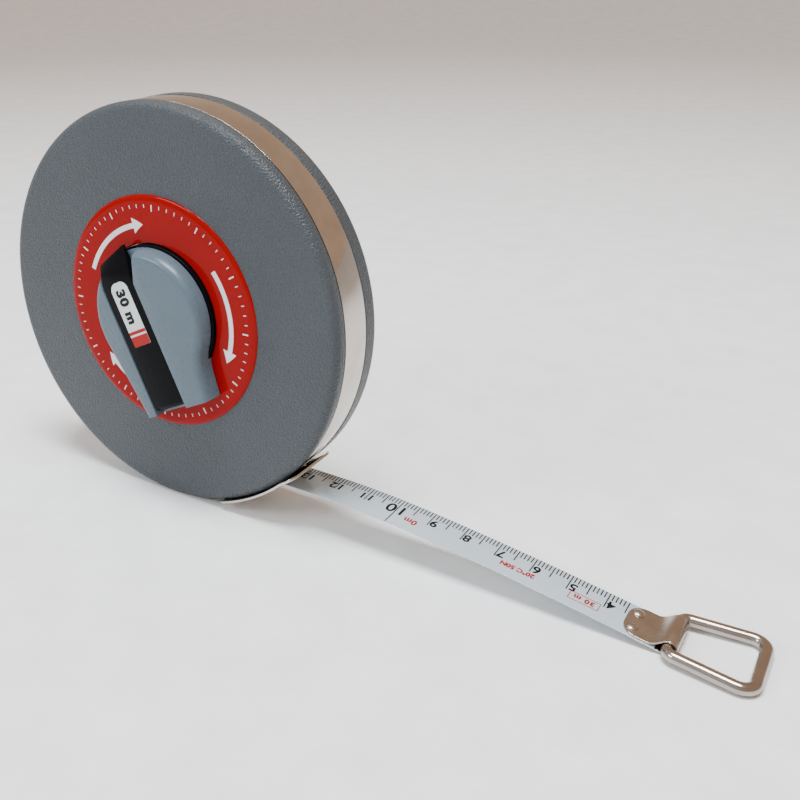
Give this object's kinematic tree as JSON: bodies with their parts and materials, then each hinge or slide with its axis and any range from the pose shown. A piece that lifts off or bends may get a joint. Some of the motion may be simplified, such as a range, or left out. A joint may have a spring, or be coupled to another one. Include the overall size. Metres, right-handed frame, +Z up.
{
  "type": "surveyor tape reel",
  "caption": "Closed-case steel long tape: round covered case with a polished rim band, winding crank with a folding grip, and a pulled-out blade with an end ring.",
  "frame": {"origin": "centre of the case's flat back face, on the drum's axis", "axes": "+Y out of the back face along the drum's axis, +Z up with the case standing on its rim, +X the way the tape is pulled out"},
  "size_m": [0.232, 0.0299, 0.1209],
  "materials": {
    "leathercloth": "fine grained coated cloth, satin",
    "bright_plate": "bright nickel plate, lightly brushed",
    "pressed_steel": "zinc plated pressed sheet",
    "red_label": "domed clear gloss over red print",
    "black_plastic": "moulded, satin",
    "grey_plastic": "moulded, soft gloss",
    "printed_plate": "printed, satin",
    "white_enamel": "glossy enamel over spring steel, printed scale",
    "turned_steel": "turned",
    "nylon": "natural nylon",
    "drum_plastic": "glass filled moulding"
  },
  "bodies": {
    "case": {"front_shell": "pressed_steel", "front_cover": "leathercloth", "back_shell": "pressed_steel", "back_cover": "leathercloth", "rim_band": "bright_plate", "label_ring": "red_label", "mouth_plate": "bright_plate", "mouth_rivets": "bright_plate", "guide_pins": "turned_steel", "front_bush": "black_plastic", "bush_retainer": "pressed_steel", "thrust_washer": "nylon", "back_pivot": "turned_steel", "spring_washer": "pressed_steel", "tape_lead": "white_enamel"},
    "winder": {"drum": "drum_plastic", "tape_anchor": "pressed_steel", "tape_coil": "white_enamel", "crank_arm": "grey_plastic", "crank_screws": "turned_steel", "grip_pin": "turned_steel"},
    "grip": {"folding_grip": "black_plastic", "grip_sticker": "printed_plate"},
    "tape_end": {"tape_blade": "white_enamel", "end_clip": "bright_plate", "clip_rivets": "bright_plate"},
    "ring": {"end_ring": "bright_plate"}
  },
  "joints": [
    {"name": "tape_pull", "type": "slide", "parent": "case", "child": "tape_end", "axis": [0.9944, 0, -0.1061], "range_m": [-0.098, 0], "deforming": ["tape_blade"]},
    {"name": "drum_spin", "type": "hinge", "parent": "case", "child": "winder", "pos_m": [0, -0.0109, 0], "axis": [0, -1, 0], "continuous": true},
    {"name": "grip_fold", "type": "hinge", "parent": "winder", "child": "grip", "pos_m": [0.00673, -0.0267, -0.02498], "axis": [0.8988, 0, 0.4384], "range_deg": [0, 90]},
    {"name": "ring_swing", "type": "hinge", "parent": "tape_end", "child": "ring", "pos_m": [0.15025, -0.0109, -0.058], "axis": [0, -1, 0], "range_deg": [0, 75]}
  ],
  "couplings": [
    {"joint": "drum_spin", "follows": "tape_pull", "rad_per_m": 21.22}
  ]
}
